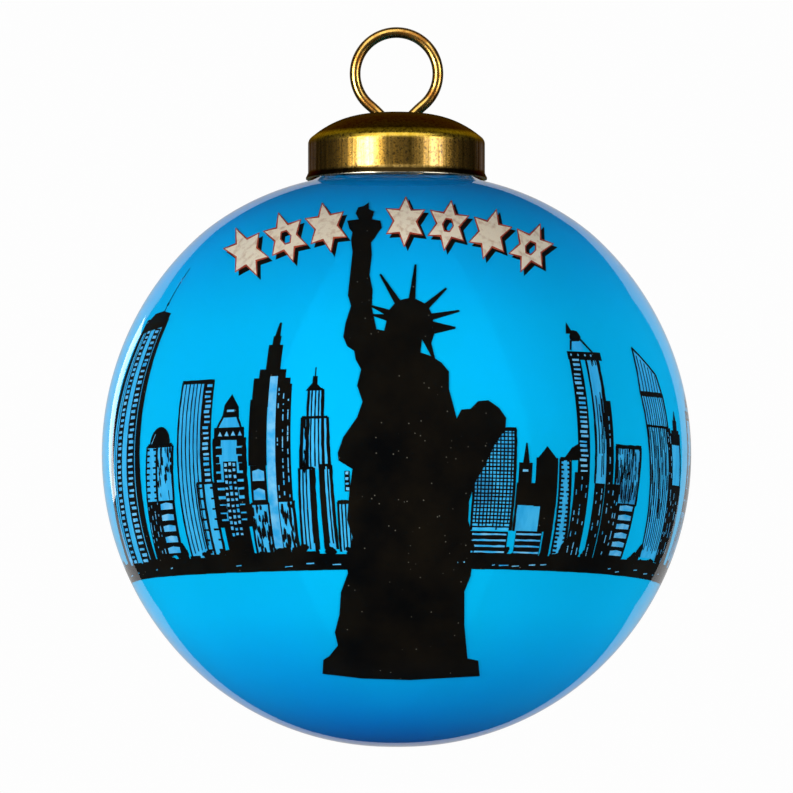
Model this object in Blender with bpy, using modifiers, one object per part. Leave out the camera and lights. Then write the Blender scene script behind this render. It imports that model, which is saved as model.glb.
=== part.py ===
"""Glass ball ornament painted on the inside, with a glued brass cap and a hanging ring.

Metres, +Z up. The origin is the point inside the top of the ring where a hook bears, and
the front of the ball faces -Y. Heights in the constants are measured from the ball's centre.
"""

import math
import random

import bmesh
import bpy
from mathutils import Vector

COLLECTION = "glass_ball_ornament"
CUTTERS = "cutters"

# Glass ball, blown: a sphere that flattens a little towards the neck and at the bottom
BALL_RADIUS = 0.038
GLASS_WALL = 0.0016
TOP_FLATTENS_FROM = 42.0    # degrees from the top
TOP_FLATTENING = 0.0000134  # per degree to the power below
TOP_POWER = 1.35
BOTTOM_FLATTENS_FROM = 135.0
BOTTOM_FLATTENING = 0.00034
NECK_RADIUS = 0.0094
NECK_TOP = 0.0396
NECK_LIP = 0.0004
SHOULDER_ANGLE = 17.5       # degrees from the top where the ball turns into the neck

# Paint coats, from the glass inwards: each is a thin skin on its own level
COAT_LEVELS = (0.03605, 0.0355, 0.03495)
COAT_THICKNESS = 0.0002
SKY_RADIUS = 0.0344
SKY_THICKNESS = 0.0003
SKY_MOUTH_ANGLE = 13.5
ART_TILT = 3.5              # degrees: the front picture is laid out as seen from a little below
GLOBE_PITCH = (12.0, 9.0)   # degrees between the folds that bend the skyline round the ball
FRONT_PITCH = (6.0, 6.0)    # millimetres between the folds of the front picture
DRAWING_MERGE = 0.0005      # points of a flat drawing closer than this are one

# Brass cap, one stamped sheet
CAP_SHEET = 0.0005
CROWN_HEIGHT = 0.0442
DOME_DROP = 0.0024
DOME_RADIUS = 0.00997
DOME_POWER = 2.9
DOME_EDGE = 0.01103
SHOULDER_RADIUS = 0.00109
SHOULDER_START = 40.0       # degrees of slope where the dome meets the shoulder bend
SKIRT_RADIUS = 0.01142
SKIRT_FOOT = 0.0364
LIP_RADIUS = 0.0117
LIP_HEIGHT = 0.0358
CAP_FOOT = 0.0356
HOLE_RADIUS = 0.0015
HOLE_OFFSET = 0.0021

# Adhesive ring between neck and cap
GLUE_INNER = 0.0097
GLUE_OUTER = 0.01055
GLUE_TOP = 0.0389
GLUE_BOTTOM = 0.0369

# Hanging ring, one closed wire through both holes of the crown
WIRE_RADIUS = 0.0007
RING_RADIUS = 0.00535
RING_CENTRE = 0.04928
RING_ARC = 140.0            # degrees each way from the top that stay a true circle
CHORD_HEIGHT = 0.0425
RING_HANDLE = 0.002
CHORD_HANDLE = 0.001

HOOK_HEIGHT = RING_CENTRE + RING_RADIUS - WIRE_RADIUS

# Skyline, in degrees of azimuth (0 is the front, + is to the right) and latitude
GROUND_LOW = -26.2
GROUND_HIGH = -23.0
BACK_FROM = 82.0
BACK_TO = 275.0
BACK_SEED = 12


def z_of(height):
    return height - HOOK_HEIGHT


def clear_scene():
    for obj in list(bpy.data.objects):
        bpy.data.objects.remove(obj, do_unlink=True)


def new_collection(name):
    collection = bpy.data.collections.new(name)
    bpy.context.scene.collection.children.link(collection)
    return collection


def material(name, color, roughness, metallic=0.0, alpha=1.0):
    made = bpy.data.materials.new(name)
    made.use_nodes = True
    shader = made.node_tree.nodes["Principled BSDF"]
    shader.inputs["Base Color"].default_value = (*color, 1.0)
    shader.inputs["Roughness"].default_value = roughness
    shader.inputs["Metallic"].default_value = metallic
    shader.inputs["Alpha"].default_value = alpha
    made.diffuse_color = (*color, alpha)
    return made


def add_object(name, mesh, collection, finish=None):
    obj = bpy.data.objects.new(name, mesh)
    collection.objects.link(obj)
    if finish:
        mesh.materials.append(finish)
    return obj


def turned(name, profile, steps, collection, finish):
    """A profile of (radius, height), down its outer side, turned about the ball's axis."""
    mesh = bpy.data.meshes.new(name)
    points = [(radius, 0.0, z_of(height)) for radius, height in profile]
    edges = [(i, i + 1) for i in range(len(points) - 1)]
    mesh.from_pydata(points, edges, [])
    obj = add_object(name, mesh, collection, finish)
    screw = obj.modifiers.new("turn", "SCREW")
    screw.steps = steps
    screw.render_steps = steps
    screw.use_merge_vertices = True
    screw.merge_threshold = 0.00001
    screw.use_smooth_shade = True
    return obj


def closed_profile(outline):
    """The outline with its first point repeated, so that it closes into a ring section."""
    return outline + outline[:1]


# ---------------------------------------------------------------- glass ball


def ball_radius(angle):
    """Outer radius of the blown ball at an angle in degrees from its top."""
    radius = BALL_RADIUS
    if angle < TOP_FLATTENS_FROM:
        radius -= TOP_FLATTENING * (TOP_FLATTENS_FROM - angle) ** TOP_POWER
    if angle > BOTTOM_FLATTENS_FROM:
        share = (angle - BOTTOM_FLATTENS_FROM) / (180.0 - BOTTOM_FLATTENS_FROM)
        radius -= BOTTOM_FLATTENING * share ** 2
    return radius


def ball_point(angle, depth):
    """(radius, height) of a point under the ball's surface."""
    radius = ball_radius(angle) - depth
    turn = math.radians(angle)
    return radius * math.sin(turn), radius * math.cos(turn)


def ball_arc(first, last, count, depth):
    return [ball_point(first + (last - first) * i / count, depth) for i in range(count + 1)]


def make_glass_ball(collection):
    bore = NECK_RADIUS - GLASS_WALL
    inner_angle = math.degrees(math.asin(bore / (ball_radius(SHOULDER_ANGLE) - GLASS_WALL)))
    inside = ball_arc(180.0, inner_angle, 17, GLASS_WALL)
    inside[0] = (0.0, inside[0][1])
    outside = ball_arc(SHOULDER_ANGLE, 180.0, 17, 0.0)
    outside[-1] = (0.0, outside[-1][1])
    neck_foot = outside[0][1] + 0.0014
    neck = [
        (bore, NECK_TOP - NECK_LIP),
        (bore + NECK_LIP, NECK_TOP),
        (NECK_RADIUS - NECK_LIP, NECK_TOP),
        (NECK_RADIUS, NECK_TOP - NECK_LIP),
        (NECK_RADIUS, neck_foot),
        (NECK_RADIUS + 0.0005, neck_foot - 0.0008),
    ]
    finish = material("clear_glass", (0.9, 0.96, 1.0), 0.02, alpha=0.35)
    return turned("glass_ball", inside + neck + outside, 36, collection, finish)


# ---------------------------------------------------------------- paint coats


def make_sky_coat(collection):
    outer_depth = BALL_RADIUS - SKY_RADIUS
    inner_depth = outer_depth + SKY_THICKNESS
    inside = ball_arc(180.0, SKY_MOUTH_ANGLE, 12, inner_depth)
    inside[0] = (0.0, inside[0][1])
    outside = ball_arc(SKY_MOUTH_ANGLE, 180.0, 12, outer_depth)
    outside[-1] = (0.0, outside[-1][1])
    finish = material("sky_blue_paint", (0.0, 0.45, 0.9), 0.4)
    return turned("sky_coat", inside + outside, 36, collection, finish)


def filled_outline(outline):
    """A flat mesh filled from a closed outline of (x, y) points, by way of a 2D curve."""
    curve = bpy.data.curves.new("outline", "CURVE")
    curve.dimensions = "2D"
    curve.fill_mode = "BOTH"
    spline = curve.splines.new("POLY")
    spline.points.add(len(outline) - 1)
    for point, (x, y) in zip(spline.points, outline):
        point.co = (x, y, 0.0, 1.0)
    spline.use_cyclic_u = True
    flat = bpy.data.objects.new("outline", curve)
    bpy.context.scene.collection.objects.link(flat)
    graph = bpy.context.evaluated_depsgraph_get()
    mesh = bpy.data.meshes.new_from_object(flat.evaluated_get(graph))
    bpy.data.objects.remove(flat, do_unlink=True)
    bpy.data.curves.remove(curve)
    return mesh


def cut_along(shape, axis, pitch):
    """Cuts every face of a flat mesh along a grid, so that it can bend round the ball."""
    values = [vert.co[axis] for vert in shape.verts]
    first = math.ceil(min(values) / pitch)
    last = math.floor(max(values) / pitch)
    normal = Vector((1.0, 0.0, 0.0)) if axis == 0 else Vector((0.0, 1.0, 0.0))
    for step in range(first, last + 1):
        bmesh.ops.bisect_plane(
            shape,
            geom=shape.verts[:] + shape.edges[:] + shape.faces[:],
            dist=DRAWING_MERGE,
            plane_co=normal * (step * pitch),
            plane_no=normal,
        )


def painted(name, outline, pitch, place, collection, finish):
    """A thin coat on the inside of the ball: a flat outline whose points are placed by place().

    Flat outlines are in degrees or millimetres, because filling needs sizes near 1.
    """
    mesh = filled_outline(outline)
    shape = bmesh.new()
    shape.from_mesh(mesh)
    bmesh.ops.remove_doubles(shape, verts=shape.verts, dist=DRAWING_MERGE)
    cut_along(shape, 0, pitch[0])
    cut_along(shape, 1, pitch[1])
    bmesh.ops.triangulate(shape, faces=shape.faces)
    bmesh.ops.dissolve_degenerate(shape, edges=shape.edges, dist=DRAWING_MERGE)
    for face in shape.faces:
        if face.normal.z < 0.0:
            face.normal_flip()
    for vert in shape.verts:
        vert.co = place(vert.co.x, vert.co.y)
    bmesh.ops.remove_doubles(shape, verts=shape.verts, dist=1e-6)
    shape.to_mesh(mesh)
    shape.free()
    mesh.name = name
    obj = add_object(name, mesh, collection, finish)
    wall = obj.modifiers.new("coat", "SOLIDIFY")
    wall.thickness = COAT_THICKNESS
    wall.offset = -1.0
    return obj


def on_globe(level):
    """Placing by azimuth and latitude in degrees, at a coat's level under the glass."""
    depth = BALL_RADIUS - COAT_LEVELS[level]

    def place(azimuth, latitude):
        radius, height = ball_point(90.0 - latitude, depth)
        turn = math.radians(azimuth)
        return Vector((radius * math.sin(turn), -radius * math.cos(turn), z_of(height)))

    return place


def on_front(level):
    """Placing by the x and height in millimetres at which a point of the picture is seen."""
    depth = BALL_RADIUS - COAT_LEVELS[level]
    tilt = math.radians(ART_TILT)

    def place(x_mm, up_mm):
        x = x_mm / 1000.0
        up = up_mm / 1000.0
        near = math.sqrt(BALL_RADIUS ** 2 - x ** 2 - up ** 2)
        y = -up * math.sin(tilt) - near * math.cos(tilt)
        z = up * math.cos(tilt) - near * math.sin(tilt)
        direction = Vector((x, y, z)).normalized()
        angle = math.degrees(math.acos(direction.z))
        at = direction * (ball_radius(angle) - depth)
        return Vector((at.x, at.y, z_of(at.z)))

    return place


# Each tower: foot from and to, top from and to, latitude of the top, crown kind, crown height
FRONT_TOWERS = (
    (-80.6, -62.8, -70.3, -59.9, 26.0, "mast", 12.0),
    (-62.0, -51.6, -58.4, -49.6, 0.0, "dome", 3.5),
    (-48.9, -39.5, -48.0, -39.5, 12.0, "flat", 0.0),
    (-38.6, -31.3, -38.5, -31.4, 2.5, "steps", 6.7),
    (-30.8, -21.0, -30.2, -21.3, 8.0, "spire", 15.8),
    (-20.1, -12.4, -19.1, -13.4, 4.2, "steps", 10.0),
    (-11.8, -8.8, -11.8, -8.8, -12.5, "flat", 0.0),
    (15.5, 24.0, 15.4, 24.0, 2.0, "flat", 0.0),
    (24.7, 28.0, 24.8, 27.8, -8.7, "spire", 8.1),
    (28.6, 34.0, 28.6, 33.6, -3.6, "dome", 2.4),
    (34.8, 38.0, 34.1, 36.4, -3.4, "flat", 0.0),
    (38.6, 48.6, 37.7, 47.0, 17.0, "horns", 7.0),
    (49.2, 56.2, 48.7, 56.5, -0.5, "flat", 0.0),
    (63.5, 72.6, 57.8, 66.9, 11.0, "slant", 8.7),
    (73.5, 79.5, 68.7, 75.2, 1.4, "spire", 6.0),
)


def crown_of(kind, half, height):
    """The crown's outline from left to right, about the middle of the tower's top."""
    if kind == "mast":
        return [(-half, 0.0), (1.0, 1.8), (1.5, height), (1.8, height), (2.2, 1.8), (half, 0.0)]
    if kind == "dome":
        turns = [math.radians(180.0 - 30.0 * i) for i in range(7)]
        return [(half * math.cos(turn), height * math.sin(turn)) for turn in turns]
    if kind == "steps":
        wide, narrow = 0.7 * half, 0.25 * half
        return [
            (-half, 0.0), (-wide, 0.0), (-wide, 0.4 * height), (-narrow, 0.5 * height),
            (0.0, height), (narrow, 0.5 * height), (wide, 0.4 * height), (wide, 0.0), (half, 0.0),
        ]
    if kind == "spire":
        wide, narrow = 0.65 * half, 0.34 * half
        return [
            (-half, 0.0), (-wide, 0.3 * height), (-narrow, 0.45 * height), (-narrow, 0.68 * height),
            (0.0, height), (narrow, 0.6 * height), (wide, 0.3 * height), (half, 0.0),
        ]
    if kind == "horns":
        return [
            (-half, 0.0), (-0.6 * half, height), (-0.3 * half, 0.5 * height),
            (0.1 * half, 0.9 * height), (half, 0.0),
        ]
    if kind == "slant":
        return [(-half, 0.0), (-0.8 * half, height), (half, 0.0)]
    return [(-half, 0.0), (half, 0.0)]


def back_towers():
    """Towers for the rest of the way round, from one seeded draw."""
    draw = random.Random(BACK_SEED)
    kinds = ("flat", "steps", "spire", "dome", "slant", "horns")
    towers = []
    azimuth = BACK_FROM
    while azimuth < BACK_TO:
        width = draw.uniform(6.5, 12.0)
        gap = draw.uniform(0.8, 3.0)
        if azimuth + width > BACK_TO:
            break
        top = draw.uniform(-8.0, 14.0)
        kind = draw.choice(kinds)
        right = azimuth + width
        towers.append((azimuth, right, azimuth, right, top, kind, draw.uniform(3.0, 7.0)))
        azimuth += width + gap
    return towers


def skyline_outline(towers, crowned):
    """The whole skyline as one band, unrolled from the left of the front right round."""
    low_end = FRONT_TOWERS[0][0] - 2.0
    outline = [(low_end, GROUND_LOW), (low_end, GROUND_HIGH)]
    for foot_left, foot_right, left, right, top, kind, height in towers:
        crown = crown_of(kind if crowned else "flat", (right - left) / 2, height)
        outline.append((foot_left, GROUND_HIGH))
        outline += [((left + right) / 2 + x, top + y) for x, y in crown]
        outline.append((foot_right, GROUND_HIGH))
    outline += [(low_end + 360.0, GROUND_HIGH), (low_end + 360.0, GROUND_LOW)]
    return outline


def make_skyline(collection):
    towers = (*FRONT_TOWERS, *back_towers())
    ink = material("black_ink_paint", (0.008, 0.01, 0.015), 0.35)
    tint = material("tower_tint_paint", (0.1, 0.5, 0.85), 0.4)
    outline = skyline_outline(towers, crowned=True)
    painted("skyline_coat", outline, GLOBE_PITCH, on_globe(1), collection, ink)
    bodies = skyline_outline(towers, crowned=False)
    painted("tower_tint_coat", bodies, GLOBE_PITCH, on_globe(2), collection, tint)


# The statue in x and height, millimetres as seen: right side upwards, then left side down
STATUE_RIGHT = (
    (10.9, -28.4), (10.9, -26.6), (9.3, -26.2), (9.0, -18.0), (9.5, -10.0), (9.4, -4.2),
    (12.1, -0.8), (14.0, 2.8), (13.9, 5.4), (11.6, 7.4), (9.0, 6.0), (7.9, 9.0),
    (6.4, 11.5), (4.6, 12.6),
)
STATUE_LEFT = (
    (-1.6, 13.6), (-2.6, 16.4), (-3.3, 20.8), (-3.3, 28.2), (-2.4, 28.9), (-1.9, 30.3),
    (-3.2, 30.5), (-3.0, 31.4), (-3.8, 32.8), (-4.8, 31.4), (-4.8, 30.5), (-6.4, 30.3),
    (-5.7, 28.9), (-5.6, 27.7), (-6.0, 20.8), (-6.9, 15.5), (-5.2, 12.0), (-4.8, 7.0),
    (-7.0, 2.5), (-7.7, -1.0), (-6.2, -5.0), (-6.2, -18.0), (-8.0, -22.8), (-8.6, -26.4),
    (-9.5, -26.6), (-9.5, -28.4), (0.5, -29.1),
)
HEAD_CENTRE = (1.7, 16.9)
HEAD_RADIUS = 3.3
RAY_COUNT = 7
RAY_LENGTH = 4.6
RAY_HALF_WIDTH = 0.42
RAY_FIRST = -12.0           # degrees from the right-hand side
RAY_LAST = 120.0


def statue_head():
    """The head as an arc from the right side of the neck to the left, with the crown's rays."""
    pitch = (RAY_LAST - RAY_FIRST) / (RAY_COUNT - 1)
    outline = []
    for ray in range(RAY_COUNT):
        turn = math.radians(RAY_FIRST + ray * pitch)
        out = Vector((math.cos(turn), math.sin(turn)))
        side = Vector((-out.y, out.x)) * RAY_HALF_WIDTH
        foot = Vector(HEAD_CENTRE) + out * HEAD_RADIUS
        outline += [foot - side, Vector(HEAD_CENTRE) + out * (HEAD_RADIUS + RAY_LENGTH), foot + side]
    return [(point.x, point.y) for point in outline]


def make_statue(collection):
    outline = [*STATUE_RIGHT, *statue_head(), *STATUE_LEFT]
    finish = material("statue_black_paint", (0.01, 0.01, 0.012), 0.35)
    painted("statue_coat", outline, FRONT_PITCH, on_front(0), collection, finish)


# Garland of six-pointed stars on a thin strand, in two runs along one arc over the statue,
# in millimetres as seen
ARC_CENTRE = Vector((-0.4, -16.2))
ARC_RADIUS = 46.6
STAR_TIP = 2.65
STAR_NOTCH = 1.35
STAR_STRETCH = 1.18         # stars are this much taller than they are wide
STRAND_HALF = 0.4
GARLAND_RUNS = {"left": (-27.4, -7.5, 3), "right": (-1.4, 25.7, 4)}
EDGE_WIDTH = 0.24
SHADOW_SHIFT = Vector((0.4, -0.4))


def star_side(middle, side, grow):
    """Half of a star between its side notches, above (side +1) or below the strand."""
    notch = STAR_NOTCH + grow
    points = [(middle - notch, side * (STRAND_HALF + grow))]
    for step in range(5, 0, -1):
        radius = (STAR_TIP if step % 2 == 1 else STAR_NOTCH) + grow
        turn = math.radians(30.0 * step)
        across = side * STAR_STRETCH * radius * math.sin(turn)
        points.append((middle + radius * math.cos(turn), across))
    points.append((middle + notch, side * (STRAND_HALF + grow)))
    return points


def garland_outline(first, last, count, grow, shift):
    """One run of the garland, between two angles in degrees clockwise from the arc's top."""
    length = math.radians(last - first) * ARC_RADIUS
    room = length - 2 * STAR_TIP
    middles = [STAR_TIP + room * i / (count - 1) for i in range(count)]
    upper = [point for middle in middles for point in star_side(middle, 1.0, grow)]
    lower = [point for middle in middles for point in star_side(middle, -1.0, grow)]
    outline = []
    for along, across in upper + lower[::-1]:
        turn = math.radians(first) + along / ARC_RADIUS
        out = Vector((math.sin(turn), math.cos(turn)))
        point = ARC_CENTRE + out * (ARC_RADIUS + across) + shift
        outline.append((point.x, point.y))
    return outline


def make_garlands(collection):
    layers = {
        "cream": (0, 0.0, Vector((0.0, 0.0)), (0.85, 0.72, 0.5)),
        "red": (1, EDGE_WIDTH, Vector((0.0, 0.0)), (0.45, 0.06, 0.03)),
        "shadow": (2, EDGE_WIDTH, SHADOW_SHIFT, (0.01, 0.01, 0.01)),
    }
    for layer, (level, grow, shift, color) in layers.items():
        finish = material(f"garland_{layer}_paint", color, 0.4)
        for side, (first, last, count) in GARLAND_RUNS.items():
            outline = garland_outline(first, last, count, grow, shift)
            name = f"garland_{layer}_{side}"
            painted(name, outline, FRONT_PITCH, on_front(level), collection, finish)


# ---------------------------------------------------------------- cap and adhesive


def cap_profile():
    """The cap's outer line from the crown down to its foot."""
    dome = []
    for step in range(8):
        radius = DOME_EDGE * step / 7
        dome.append((radius, CROWN_HEIGHT - DOME_DROP * (radius / DOME_RADIUS) ** DOME_POWER))
    centre = SKIRT_RADIUS - SHOULDER_RADIUS
    top_slope = math.radians(SHOULDER_START)
    drop = dome[-1][1] - SHOULDER_RADIUS * math.cos(top_slope)
    bend = []
    for step in range(1, 4):
        turn = top_slope + (math.pi / 2 - top_slope) * step / 3
        bend.append((centre + SHOULDER_RADIUS * math.sin(turn), drop + SHOULDER_RADIUS * math.cos(turn)))
    foot = [(SKIRT_RADIUS, SKIRT_FOOT), (LIP_RADIUS, LIP_HEIGHT), (LIP_RADIUS, CAP_FOOT)]
    return dome + bend + foot


def ring_hole_cutter(name, x, collection):
    mesh = bpy.data.meshes.new(name)
    shape = bmesh.new()
    bmesh.ops.create_cone(
        shape,
        cap_ends=True,
        segments=20,
        radius1=HOLE_RADIUS,
        radius2=HOLE_RADIUS,
        depth=0.004,
    )
    shape.to_mesh(mesh)
    shape.free()
    obj = add_object(name, mesh, collection)
    obj.location = (x, 0.0, z_of(CROWN_HEIGHT))
    obj.hide_render = True
    obj.display_type = "WIRE"
    return obj


def make_cap(collection, cutters):
    finish = material("antique_brass", (0.32, 0.2, 0.06), 0.35, metallic=1.0)
    cap = turned("cap_shell", cap_profile(), 32, collection, finish)
    sheet = cap.modifiers.new("sheet", "SOLIDIFY")
    sheet.thickness = CAP_SHEET
    sheet.offset = -1.0
    for side, x in (("left", -HOLE_OFFSET), ("right", HOLE_OFFSET)):
        hole = cap.modifiers.new(f"hole_{side}", "BOOLEAN")
        hole.operation = "DIFFERENCE"
        hole.solver = "EXACT"
        hole.object = ring_hole_cutter(f"ring_hole_{side}", x, cutters)
    return cap


def make_adhesive(collection):
    outline = [
        (GLUE_INNER, GLUE_TOP),
        (GLUE_OUTER, GLUE_TOP),
        (GLUE_OUTER, GLUE_BOTTOM),
        (GLUE_INNER, GLUE_BOTTOM),
    ]
    finish = material("clear_adhesive", (0.75, 0.68, 0.5), 0.3)
    return turned("cap_adhesive", closed_profile(outline), 32, collection, finish)


# ---------------------------------------------------------------- hanging ring


def half_ring_path():
    """Right half of the wire's path from the top, as (x, height): a circle, then the bend inside."""
    path = []
    for step in range(17):
        turn = math.radians(RING_ARC * step / 16)
        path.append((RING_RADIUS * math.sin(turn), RING_CENTRE + RING_RADIUS * math.cos(turn)))
    end = math.radians(RING_ARC)
    start = Vector(path[-1])
    leave = start + Vector((math.cos(end), -math.sin(end))) * RING_HANDLE
    middle = Vector((0.0, CHORD_HEIGHT))
    arrive = middle + Vector((CHORD_HANDLE, 0.0))
    for step in range(1, 9):
        t = step / 8
        s = 1.0 - t
        point = start * s ** 3 + leave * 3 * s * s * t + arrive * 3 * s * t * t + middle * t ** 3
        path.append((point.x, point.y))
    return path


def make_ring(collection):
    right = half_ring_path()
    left = [(-x, height) for x, height in right[-2:0:-1]]
    curve = bpy.data.curves.new("hanging_ring", "CURVE")
    curve.dimensions = "3D"
    curve.bevel_depth = WIRE_RADIUS
    curve.bevel_resolution = 2
    spline = curve.splines.new("POLY")
    spline.points.add(len(right + left) - 1)
    for point, (x, height) in zip(spline.points, right + left):
        point.co = (x, 0.0, height - RING_CENTRE, 1.0)
    spline.use_cyclic_u = True
    curve.materials.append(material("ring_brass", (0.55, 0.36, 0.12), 0.25, metallic=1.0))
    ring = bpy.data.objects.new("hanging_ring", curve)
    ring.location = (0.0, 0.0, z_of(RING_CENTRE))
    collection.objects.link(ring)
    return ring


def main():
    clear_scene()
    parts = new_collection(COLLECTION)
    cutters = new_collection(CUTTERS)
    make_glass_ball(parts)
    make_sky_coat(parts)
    make_skyline(parts)
    make_statue(parts)
    make_garlands(parts)
    make_cap(parts, cutters)
    make_adhesive(parts)
    make_ring(parts)


main()
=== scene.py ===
"""Looks for a glass ball ornament painted on the inside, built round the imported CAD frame.

The glass is a clear turned shell. The picture lies against it in thin painted skins: a sky
coat, light tower tints, black ink line work, a torch-bearer and a row of stars. The brass cap
and the wire ring are fine meshes of their own. Metres, +Z up, the front faces -Y. Heights in
the constants are measured from the ball's centre, as in the part's source.
"""

import math
import random

import bmesh
import bpy
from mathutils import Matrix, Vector
from mathutils.geometry import tessellate_polygon


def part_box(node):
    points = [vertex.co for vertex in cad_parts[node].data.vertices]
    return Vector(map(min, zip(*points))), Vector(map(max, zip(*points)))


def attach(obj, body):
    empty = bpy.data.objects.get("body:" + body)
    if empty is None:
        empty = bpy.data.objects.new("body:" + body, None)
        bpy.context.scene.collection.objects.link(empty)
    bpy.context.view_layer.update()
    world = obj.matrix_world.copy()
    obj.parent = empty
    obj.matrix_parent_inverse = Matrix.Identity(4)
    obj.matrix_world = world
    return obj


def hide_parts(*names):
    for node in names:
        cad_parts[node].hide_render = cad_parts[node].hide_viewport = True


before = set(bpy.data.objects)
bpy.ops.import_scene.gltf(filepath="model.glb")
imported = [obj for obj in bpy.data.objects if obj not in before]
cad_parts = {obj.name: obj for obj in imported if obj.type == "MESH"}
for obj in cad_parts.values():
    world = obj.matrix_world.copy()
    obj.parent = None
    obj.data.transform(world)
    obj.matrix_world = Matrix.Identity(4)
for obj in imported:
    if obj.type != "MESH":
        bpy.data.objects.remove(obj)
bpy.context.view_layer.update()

# Glass ball, as in the part's source
BALL_RADIUS = 0.038
GLASS_WALL = 0.0016
TOP_FLATTENS_FROM = 42.0    # degrees from the top
TOP_FLATTENING = 0.0000134
TOP_POWER = 1.35
BOTTOM_FLATTENS_FROM = 135.0
BOTTOM_FLATTENING = 0.00034
NECK_RADIUS = 0.0094
NECK_TOP = 0.0396
NECK_LIP = 0.0004
SHOULDER_ANGLE = 17.5       # degrees from the top: where the neck leaves the ball
NECK_FILLET = ((0.0, 0.0014), (0.0005, 0.0006))    # outwards, above the shoulder
BALL_STEPS = 256
CENTRE_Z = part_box("glass_ball")[1].z - NECK_TOP

# Painted skins: how far each one's outer face lies above the glass's inner wall, metres
SKY_LIFT = 0.00002
TINT_LIFT = 0.00005
INK_LIFT = 0.00009
LIGHT_LIFT = 0.00013
SHADOW_LIFT = 0.00006
RED_LIFT = 0.0001
STATUE_LIFT = 0.00014
CREAM_LIFT = 0.00014
SKIN_THICKNESS = 0.00003
SHAPE_LIFT = 0.0000015      # shapes of one skin that cross each other lie this much apart
SHAPE_LIFTS = 7
PAINT_BUMP = 0.00001
ART_TILT = 3.5              # degrees: the front picture is laid out as seen from a little below
GLOBE_PITCH = 2.0           # degrees between cuts that let a flat shape bend round the ball
FRONT_PITCH = 1.2           # millimetres, for the shapes laid out as seen from the front
SHARP_ANGLE = 30.0          # degrees: edges that turn more than this are drawn sharp

# Cap and ring, as in the part's source
CAP_SHEET = 0.0005
CROWN_HEIGHT = 0.0442
DOME_DROP = 0.0024
DOME_RADIUS = 0.00997
DOME_POWER = 2.9
DOME_EDGE = 0.01103
SHOULDER_RADIUS = 0.00109
SHOULDER_START = 40.0
SKIRT_RADIUS = 0.01142
SKIRT_FOOT = 0.0364
LIP_RADIUS = 0.0117
LIP_HEIGHT = 0.0358
CAP_FOOT = 0.0356
ROLL_OUT = 0.00012
ROLL_DROP = 0.0003
CAP_STEPS = 224
# The brighter band on the shoulder is a painted highlight.
GOLD_HIGHLIGHT_RISES = (0.0400, 0.0412)       # heights between which each colour comes in or goes
BROWN_RISES = (0.0411, 0.0416)
LACQUER_FADES = (0.0404, 0.0398)
HOLE_RADIUS = 0.0015
HOLE_OFFSET = 0.0021
DRILL_LENGTH = 0.004
WIRE_RADIUS = 0.0007
RING_RADIUS = 0.00535
RING_CENTRE = 0.04928
RING_ARC = 140.0
CHORD_HEIGHT = 0.0425
RING_HANDLE = 0.002
CHORD_HANDLE = 0.001
RING_SIDES = 28

# Skyline, in degrees of azimuth (0 is the front, + is to the right) and latitude
GROUND_LOW = -26.2
GROUND_HIGH = -23.0
BACK_FROM = 82.0
BACK_TO = 275.0
BACK_SEED = 12


# ---- shapes on the ball


def ball_radius(angle):
    """Outer radius of the blown ball at an angle in degrees from its top."""
    radius = BALL_RADIUS
    if angle < TOP_FLATTENS_FROM:
        radius -= TOP_FLATTENING * (TOP_FLATTENS_FROM - angle) ** TOP_POWER
    if angle > BOTTOM_FLATTENS_FROM:
        share = (angle - BOTTOM_FLATTENS_FROM) / (180.0 - BOTTOM_FLATTENS_FROM)
        radius -= BOTTOM_FLATTENING * share ** 2
    return radius


def ball_point(angle, depth):
    """(radius, height) of a point under the ball's surface."""
    radius = ball_radius(angle) - depth
    turn = math.radians(angle)
    return radius * math.sin(turn), radius * math.cos(turn)


def ball_arc(first, last, count, depth):
    return [ball_point(first + (last - first) * i / count, depth) for i in range(count + 1)]


def on_globe(azimuth, latitude, depth):
    """The point at an azimuth and latitude in degrees, a depth under the ball's surface."""
    radius, height = ball_point(90.0 - latitude, depth)
    turn = math.radians(azimuth)
    return Vector((radius * math.sin(turn), -radius * math.cos(turn), CENTRE_Z + height))


def on_front(x_mm, up_mm, depth):
    """The point seen at x and a height in millimetres from the front, a depth under the surface."""
    tilt = math.radians(ART_TILT)
    x = x_mm / 1000.0
    up = up_mm / 1000.0
    near = math.sqrt(BALL_RADIUS ** 2 - x ** 2 - up ** 2)
    y = -up * math.sin(tilt) - near * math.cos(tilt)
    z = up * math.cos(tilt) - near * math.sin(tilt)
    direction = Vector((x, y, z)).normalized()
    radius = ball_radius(math.degrees(math.acos(direction.z))) - depth
    return direction * radius + Vector((0.0, 0.0, CENTRE_Z))


def flat_triangles(loops, pitch):
    """Points and triangles of a flat outline with its holes, cut along a grid of that pitch."""
    shape = bmesh.new()
    corners = [[Vector((u, v, 0.0)) for u, v in loop] for loop in loops]
    verts = [shape.verts.new(corner) for loop in corners for corner in loop]
    for triangle in tessellate_polygon(corners):
        shape.faces.new([verts[i] for i in triangle])
    for axis, normal in ((0, Vector((1.0, 0.0, 0.0))), (1, Vector((0.0, 1.0, 0.0)))):
        values = [vert.co[axis] for vert in shape.verts]
        for step in range(math.ceil(min(values) / pitch), math.floor(max(values) / pitch) + 1):
            bmesh.ops.bisect_plane(
                shape,
                geom=shape.verts[:] + shape.edges[:] + shape.faces[:],
                dist=1e-4,
                plane_co=normal * (step * pitch),
                plane_no=normal,
            )
    bmesh.ops.triangulate(shape, faces=shape.faces)
    bmesh.ops.dissolve_degenerate(shape, edges=shape.edges, dist=1e-4)
    bmesh.ops.triangulate(shape, faces=shape.faces)
    shape.normal_update()
    shape.verts.index_update()
    points = [(vert.co.x, vert.co.y) for vert in shape.verts]
    triangles = []
    for face in shape.faces:
        order = [vert.index for vert in face.verts]
        triangles.append(order if face.normal.z > 0.0 else order[::-1])
    shape.free()
    return points, triangles


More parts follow.
